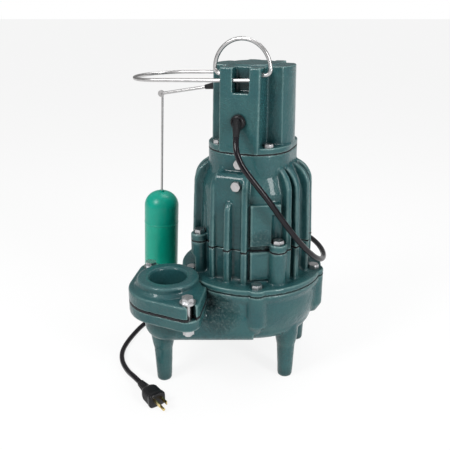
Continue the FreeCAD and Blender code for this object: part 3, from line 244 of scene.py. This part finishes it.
def copper_winding():
    made = Shader("copper_wire", Metallic=0.85, Coat_Weight=0.5, Coat_Roughness=0.2)
    wave = made.node("ShaderNodeTexWave", wave_type="RINGS", rings_direction="Z")
    wave.inputs["Scale"].default_value = 300.0
    wave.inputs["Distortion"].default_value = 2.0
    made.link(made.place, wave.inputs["Vector"])
    made.feed("Base Color", made.mix(wave.outputs["Fac"], (0.55, 0.22, 0.09), (0.8, 0.42, 0.22)))
    made.feed("Roughness", made.spread(wave.outputs["Fac"], 0.3, 0.5, 0.0, 1.0))
    made.bump(wave.outputs["Fac"], 0.3 * MM, 0.7)
    return made.material


def machined_iron(name, colour, rough):
    made = Shader(name, Metallic=0.7)
    fine = made.noise(1.5 * MM, 4.0, 0.6)
    made.feed("Base Color", made.mix(made.spread(made.noise(12 * MM), 0.0, 1.0), colour,
                                     tuple(c * 0.6 for c in colour)))
    made.feed("Roughness", made.spread(fine, rough * 0.8, rough * 1.2))
    made.bump(fine, 0.15 * MM, 0.5)
    return made.material


materials = {
    "green_enamel": painted_casting(),
    "gasket_black": rubber("gasket_black", (0.008, 0.008, 0.01), 0.7, 1.5 * MM),
    "bright_steel": metal("bright_steel", (0.58, 0.57, 0.57), 0.32),
    "float_green": moulded("float_green", (0.0, 0.36, 0.245), (0.0, 0.3, 0.205), 0.3),
    "rubber_black": rubber("rubber_black", (0.005, 0.005, 0.006), 0.4),
    "cord_black": rubber("cord_black", (0.003, 0.002, 0.004), 0.25),
    "blade_brass": metal("blade_brass", (0.83, 0.66, 0.3), 0.22),
    "iron_inside": machined_iron("iron_inside", (0.2, 0.19, 0.18), 0.5),
    "copper_wire": copper_winding(),
    "aluminium_ring": metal("aluminium_ring", (0.7, 0.7, 0.72), 0.38),
    "switch_plastic": moulded("switch_plastic", (0.03, 0.03, 0.032), (0.02, 0.02, 0.022), 0.5),
    "impeller_iron": machined_iron("impeller_iron", (0.22, 0.21, 0.2), 0.6),
}
slot_of = {p["node"]: p["material_slot"] for p in frame["record"]["subparts"]}

# The fasteners are duller than the wires, the painted-over gaskets greener than the black ones,
# and the float's upper shell is a little darker than its lower one
own_material = {
    "volute_gasket": rubber("painted_gasket", (0.006, 0.018, 0.02), 0.6, 1.5 * MM),
    "float_upper_shell": moulded("float_dark_green", (0.0, 0.335, 0.24), (0.0, 0.28, 0.2), 0.3),
}
zinc = metal("zinc", (0.62, 0.62, 0.63), 0.3, 0.6 * MM, 0.45)
for fastener in ("volute_bolts", "motor_bolts", "cap_screws", "discharge_bolts", "discharge_washers",
                 "discharge_nuts"):
    own_material[fastener] = zinc


def finish_mesh(obj, slot, angle=35.0):
    """Gives a mesh its material and smooth shading with sharp creases."""
    obj.data.materials.clear()
    obj.data.materials.append(materials[slot])
    obj.data.shade_smooth()
    if angle:
        obj.data.set_sharp_from_angle(angle=math.radians(angle))


for name, node in nodes.items():
    node.data.materials.clear()
    node.data.materials.append(own_material.get(name, materials[slot_of[name]]))


def new_piece(name, mesh, body, replaced=()):
    obj = bpy.data.objects.new(name, mesh)
    bpy.context.scene.collection.objects.link(obj)
    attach(obj, body)
    if replaced:
        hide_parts(*replaced)
    return obj


# The mains cord: one spline from the gland through the coil to the plug
CORD_RADIUS = 4.5 * MM
GLAND_CENTRE = Vector((0.0, -75.488, 440.0))
GLAND_AIM = Vector((0.25, -0.78, -0.57)).normalized()
CORD_EXIT = GLAND_CENTRE + GLAND_AIM * 8.0
UPPER_ROUTE = [
    (11, -109, 407), (21, -113, 386), (40, -110, 362), (61, -101, 333), (81, -87, 297),
    (100, -68, 262), (116, -42, 231), (124, -10, 211), (122, 24, 204), (111, 56, 202.5),
    (93, 85, 203), (70, 111, 203), (46, 132, 195), (27, 145, 173), (16.2, 147.6, 146.1),
    (18.6, 154.3, 117.7), (32.2, 150.4, 89), (43.1, 159.5, 63.5), (41.2, 172.1, 39.5),
    (29.2, 188, 22)]
LOWER_ROUTE = [
    (-172, 136, 4.5), (-192, 105, 4.5), (-215, 60, 4.5), (-229, 14, 4.5), (-228, -28, 4.5),
    (-224, -64, 4.5), (-216, -95, 4.5), (-199, -122, 4.5), (-172, -147, 6.5)]
PLUG_START = Vector((-131.5, -174.5, 12.3))
PLUG_DIRECTION = Vector((0.845, -0.534, 0.0)).normalized()
COIL_CENTRE = Vector((-75.0, 187.0, 0.0))
COIL_ROWS = (59.4, 50.0, 40.6)
COIL_LEVELS = (14.1, 4.7)
COIL_IN, COIL_OUT = 58.0, 1950.0
END_RUN = 20.0

# The gland's relief, whose ribs repeat every six rings, and the float's weld
RELIEF_STEP = 0.75
RELIEF_LENGTH = 33.0
RELIEF_RADIUS = 7.2
RELIEF_NARROWS = 2.55
RELIEF_RIB = 0.35
FLOAT_EYE = Vector((-165.0, 4.5, 464.0))
FLOAT_LEAN = math.radians(2.8)
SEAM_DROP = 231.0


def polar(radius, angle, z=0.0):
    return Vector((radius * math.cos(math.radians(angle)), radius * math.sin(math.radians(angle)), z))


def eased(value, start, end):
    t = min(1.0, max(0.0, (value - start) / (end - start)))
    return t * t * (3 - 2 * t)


def coil_radius(angle):
    """The row that the cord lies in: inwards in the upper layer, outwards in the lower."""
    row = eased(angle, 353, 403) + eased(angle, 713, 763)
    row -= eased(angle, 1325, 1375) + eased(angle, 1685, 1735)
    return COIL_ROWS[0] + row * (COIL_ROWS[1] - COIL_ROWS[0])


def coil_level(angle):
    return COIL_LEVELS[0] + (COIL_LEVELS[1] - COIL_LEVELS[0]) * eased(angle, 1020, 1070)


def coil_points():
    count = 95
    step = (COIL_OUT - COIL_IN) / count
    grow = 1 / math.cos(math.radians(step / 2))
    angles = [COIL_IN - step / 2 + k * step for k in range(count + 2)]
    return [COIL_CENTRE + polar(coil_radius(a) * grow, a, coil_level(a)) for a in angles]


def stub(angle, radius, level, way):
    """A point straight out of the coil, and one END_RUN further on."""
    start = COIL_CENTRE + polar(radius, angle, level)
    away = polar(1.0, angle + 90) * way
    reach = 14.0 + math.sqrt(2 * 50.0 * 9.4)
    return start + away * reach, start + away * (reach + END_RUN)


def cord_route():
    into, into_run = stub(COIL_IN, COIL_ROWS[0], COIL_LEVELS[0], -1)
    out, out_run = stub(COIL_OUT, COIL_ROWS[0], COIL_LEVELS[1], 1)
    route = [CORD_EXIT, CORD_EXIT + GLAND_AIM * 18.0] + [Vector(p) for p in UPPER_ROUTE]
    route += [into_run, into] + coil_points() + [out, out_run] + [Vector(p) for p in LOWER_ROUTE]
    route += [PLUG_START - PLUG_DIRECTION * END_RUN, PLUG_START]
    return [p * MM for p in route]


def mesh_from(rings, name):
    """Joins rings of equally many points into a closed skin."""
    made = bmesh.new()
    rows = [[made.verts.new(p) for p in row] for row in rings]
    count = len(rows[0])
    for a, b in zip(rows, rows[1:]):
        for k in range(count):
            made.faces.new((a[k], a[(k + 1) % count], b[(k + 1) % count], b[k]))
    made.faces.new(list(reversed(rows[0])))
    made.faces.new(rows[-1])
    bmesh.ops.recalc_face_normals(made, faces=made.faces)
    mesh = bpy.data.meshes.new(name)
    made.to_mesh(mesh)
    made.free()
    return mesh


def ring_points(centre, along, radius, count=40):
    side = along.cross(Vector((0, 0, 1))).normalized()
    up = side.cross(along)
    turns = [2 * math.pi * k / count for k in range(count)]
    return [centre + (side * math.cos(t) + up * math.sin(t)) * radius for t in turns]


def lathe(start, along, profile, count=40):
    """Rings round an axis, from pairs of distance along it and radius."""
    return [ring_points(start + along * distance, along, radius, count) for distance, radius in profile]


def centre_line(curve):
    """Points of a curve's own smooth line, in millimetres."""
    bare = curve.copy()
    bare.bevel_depth = 0.0
    holder = bpy.data.objects.new("centre_line", bare)
    mesh = bpy.data.meshes.new_from_object(holder)
    points = [v.co / MM for v in mesh.vertices]
    bpy.data.objects.remove(holder)
    return points


def merged(meshes, name):
    made = bmesh.new()
    for mesh in meshes:
        made.from_mesh(mesh)
    out = bpy.data.meshes.new(name)
    made.to_mesh(out)
    made.free()
    out.transform(((MM, 0, 0, 0), (0, MM, 0, 0), (0, 0, MM, 0), (0, 0, 0, 1)))
    return out


def walked(points, step, reach):
    """Places and directions every step along a line of points, up to a reach."""
    places = []
    travelled, wanted = 0.0, 0.0
    for a, b in zip(points, points[1:]):
        length = (b - a).length
        while travelled + length >= wanted and wanted <= reach:
            places.append((a.lerp(b, (wanted - travelled) / length), (b - a).normalized()))
            wanted += step
        travelled += length
    return places


def make_gland(line_points):
    """A rubber grommet in the cap's wall, and a ribbed relief that tapers along the cord."""
    face = GLAND_CENTRE.y + 6.0
    out = Vector((0, -1, 0))
    grommet = [(-0.7, 7.0), (-0.7, 11.2), (1.6, 11.4), (2.2, 10.5), (3.0, 10.5), (3.6, 11.2), (5.6, 10.9),
               (7.0, 10.0), (7.8, 8.8), (7.9, 7.8), (7.2, 7.3), (5.0, 6.8)]
    body = mesh_from(lathe(Vector((0, face, GLAND_CENTRE.z)), out, grommet), "grommet")
    path = [GLAND_CENTRE - GLAND_AIM * 3.0] + line_points[:30]
    rings = []
    for index, (place, along) in enumerate(walked(path, RELIEF_STEP, RELIEF_LENGTH)):
        share = index * RELIEF_STEP / RELIEF_LENGTH
        ribbed = index > 6 and index % 6 in (1, 2, 3)
        rib = RELIEF_RIB * (1 - share) if ribbed else 0.0
        radius = RELIEF_RADIUS - RELIEF_NARROWS * share ** 0.8 + rib
        rings.append(ring_points(place, along, radius, 32))
    relief = mesh_from(rings, "relief")
    piece = new_piece("gland_moulding", merged([body, relief], "gland_moulding"), "pump",
                      ("cord_gland",))
    finish_mesh(piece, "rubber_black", 50)
    return piece


def plug_section(x, half_wide, half_high, power=3.2, count=48):
    """A rounded oblong section across the plug, at x along it."""
    side = Vector((-PLUG_DIRECTION.y, PLUG_DIRECTION.x, 0))
    section = []
    for k in range(count):
        t = 2 * math.pi * k / count
        c, s = math.cos(t), math.sin(t)
        a = math.copysign(abs(c) ** (2 / power), c) * half_wide
        b = math.copysign(abs(s) ** (2 / power), s) * half_high
        section.append(PLUG_START + PLUG_DIRECTION * x + side * a + Vector((0, 0, b)))
    return section


def make_plug():
    """A moulded plug: a ribbed relief, a waisted grip with ridges, and a broad face."""
    sections = []
    for index in range(23):
        x = index * 1.0
        grow = 5.3 + 2.4 * x / 22 + (0.55 if index % 4 in (1, 2) and index > 1 else 0.0)
        sections.append(plug_section(x, grow, grow, 2.0))
    for x, wide, high, power in ((23.2, 8.6, 8.2, 2.3), (25.0, 10.6, 9.4, 2.8), (28.0, 12.6, 10.6, 3.4),
                                 (31.0, 13.2, 11.2, 4.0)):
        sections.append(plug_section(x, wide, high, power))
    for index in range(18):
        x = 32.0 + index
        ridge = 0.55 if index % 3 == 1 else 0.0
        sections.append(plug_section(x, 13.0 + ridge + 0.03 * index, 11.2 + 0.5 * ridge, 4.2))
    for x, wide, high, power in ((51.0, 14.3, 11.9, 4.6), (55.6, 14.6, 12.0, 4.8), (57.2, 14.2, 11.6, 4.8),
                                 (58.0, 13.2, 10.6, 4.6)):
        sections.append(plug_section(x, wide, high, power))
    mesh = merged([mesh_from(sections, "plug_form")], "plug_moulding")
    piece = new_piece("plug_moulding", mesh, "pump", ("plug_body",))
    finish_mesh(piece, "rubber_black", 50)
    return piece


def make_cord():
    curve = bpy.data.curves.new("power_cord", "CURVE")
    curve.dimensions = "3D"
    curve.bevel_depth = 1.0
    curve.bevel_resolution = 6
    curve.use_fill_caps = True
    spline = curve.splines.new("NURBS")
    route = cord_route()
    spline.points.add(len(route) - 1)
    for point, place in zip(spline.points, route):
        point.co = (*place, 1.0)
        point.radius = CORD_RADIUS
    spline.order_u = 3
    spline.use_endpoint_u = True
    spline.resolution_u = 6
    cord = new_piece("power_cord", curve, "pump",
                     ("power_cord_upper", "power_cord_coil", "power_cord_lower"))
    curve.materials.append(materials["cord_black"])
    gland = make_gland(centre_line(curve))
    make_plug()


make_cord()


# The float's weld: a low bead where its two shells meet
def make_float_seam():
    along = Vector((math.sin(FLOAT_LEAN), 0, math.cos(FLOAT_LEAN)))
    centre = FLOAT_EYE - along * SEAM_DROP
    profile = [(-1.6, 29.9), (-1.2, 30.6), (0.0, 30.9), (1.2, 30.6), (1.6, 29.9)]
    mesh = merged([mesh_from(lathe(centre, along, profile, 96), "seam")], "float_seam")
    piece = new_piece("float_seam", mesh, "float")
    finish_mesh(piece, "float_green", 60)


make_float_seam()


# Floor, world and lamps
def plain_floor():
    mesh = bpy.data.meshes.new("floor")
    half = 40.0
    mesh.from_pydata([(-half, -half, 0), (half, -half, 0), (half, half, 0), (-half, half, 0)], [],
                     [(0, 1, 2, 3)])
    floor = bpy.data.objects.new("floor", mesh)
    floor.location.z = -0.0002
    bpy.context.scene.collection.objects.link(floor)
    made = Shader("floor", Roughness=0.9, Specular_IOR_Level=0.1)
    made.shader.inputs["Base Color"].default_value = (0.9, 0.9, 0.9, 1.0)
    grain = made.noise(0.4, 2.0)
    made.feed("Roughness", made.spread(grain, 0.85, 0.95))
    glow = made.node("ShaderNodeEmission")
    glow.inputs["Color"].default_value = (1, 1, 1, 1)
    glow.inputs["Strength"].default_value = 1.0
    seen = made.node("ShaderNodeLightPath")
    shown = made.combine(seen.outputs["Is Camera Ray"], seen.outputs["Is Glossy Ray"], "MAXIMUM")
    share = made.combine(shown, 0.86, "MULTIPLY")
    both = made.node("ShaderNodeMixShader")
    out = made.tree.nodes["Material Output"]
    made.link(share, both.inputs[0])
    made.link(made.shader.outputs[0], both.inputs[1])
    made.link(glow.outputs[0], both.inputs[2])
    made.link(both.outputs[0], out.inputs["Surface"])
    mesh.materials.append(made.material)


def pale_world():
    """A white room that is brighter overhead, and plain white where the camera sees it."""
    world = bpy.data.worlds.new("world")
    world.use_nodes = True
    bpy.context.scene.world = world
    tree = world.node_tree
    ambient = tree.nodes["Background"]
    ambient.inputs["Color"].default_value = (1, 1, 1, 1)
    place = tree.nodes.new("ShaderNodeTexCoord")
    parts = tree.nodes.new("ShaderNodeSeparateXYZ")
    height = tree.nodes.new("ShaderNodeMapRange")
    for key, number in (("From Min", -0.1), ("From Max", 0.9), ("To Min", 0.07), ("To Max", 0.55)):
        height.inputs[key].default_value = number
    tree.links.new(place.outputs["Generated"], parts.inputs[0])
    tree.links.new(parts.outputs["Z"], height.inputs["Value"])
    tree.links.new(height.outputs["Result"], ambient.inputs["Strength"])
    seen = tree.nodes.new("ShaderNodeBackground")
    seen.inputs["Color"].default_value = (1, 1, 1, 1)
    seen.inputs["Strength"].default_value = 1.0
    path = tree.nodes.new("ShaderNodeLightPath")
    both = tree.nodes.new("ShaderNodeMixShader")
    tree.links.new(path.outputs["Is Camera Ray"], both.inputs[0])
    tree.links.new(ambient.outputs[0], both.inputs[1])
    tree.links.new(seen.outputs[0], both.inputs[2])
    tree.links.new(both.outputs[0], tree.nodes["World Output"].inputs["Surface"])


def lamp(name, place, power, size, target=(0, 0, 0.25)):
    data = bpy.data.lights.new(name, "AREA")
    data.shape = "RECTANGLE"
    data.size, data.size_y = size
    data.energy = power
    obj = bpy.data.objects.new(name, data)
    obj.location = place
    obj.rotation_euler = (Vector(target) - Vector(place)).to_track_quat("-Z", "Y").to_euler()
    bpy.context.scene.collection.objects.link(obj)


plain_floor()
pale_world()
lamp("key", (-0.7, -1.3, 1.5), 22.0, (0.5, 0.7))
lamp("side", (1.4, -0.7, 0.9), 20.0, (0.35, 1.1))
lamp("top", (0.1, 0.5, 1.9), 9.0, (1.0, 0.7))


# Castings: the CAD form with rounded edges and a slightly uneven cast surface
def uneven(mesh, depth):
    """Moves each point along its normal by a soft noise of that depth."""
    count = len(mesh.vertices)
    places = np.empty(count * 3, np.float32)
    normals = np.empty(count * 3, np.float32)
    mesh.vertices.foreach_get("co", places)
    mesh.vertex_normals.foreach_get("vector", normals)
    places = places.reshape(-1, 3)
    heights = [noise.noise(p * 70.0) + 0.5 * noise.noise(p * 190.0) for p in map(Vector, places.tolist())]
    places += normals.reshape(-1, 3) * (depth * np.array(heights, np.float32))[:, None]
    mesh.vertices.foreach_set("co", places.ravel())
    mesh.update()


def joined_mesh(names):
    joined = bmesh.new()
    for name in names:
        joined.from_mesh(nodes[name].data)
    mesh = bpy.data.meshes.new(names[0] + "_joined")
    joined.to_mesh(mesh)
    joined.free()
    return mesh


def cast_copy(names, voxel, rounds, wobble):
    node = names[0]
    source = nodes[node]
    mesh = joined_mesh(names)
    obj = bpy.data.objects.new(mesh.name, mesh)
    bpy.context.scene.collection.objects.link(obj)
    remesh = obj.modifiers.new("remesh", "REMESH")
    remesh.mode = "VOXEL"
    remesh.voxel_size = voxel
    smooth = obj.modifiers.new("smooth", "SMOOTH")
    smooth.factor = 0.5
    smooth.iterations = rounds
    bpy.context.view_layer.update()
    made = bpy.data.meshes.new_from_object(obj.evaluated_get(bpy.context.evaluated_depsgraph_get()))
    bpy.data.objects.remove(obj)
    made.name = node + "_casting"
    uneven(made, wobble)
    piece = new_piece(node + "_casting", made, source["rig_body"], names)
    finish_mesh(piece, slot_of[node], 0)


castings = {
    ("volute_housing", "volute_outlet", "volute_legs"): (1.8 * MM, 5),
    ("adapter_housing",): (1.6 * MM, 5),
    ("motor_housing",): (1.6 * MM, 5),
    ("switch_cap",): (1.3 * MM, 4),
    ("discharge_flange",): (1.3 * MM, 5),
}
for node_names, (voxel_size, rounds) in castings.items():
    cast_copy(node_names, voxel_size, rounds, 0.22 * MM)
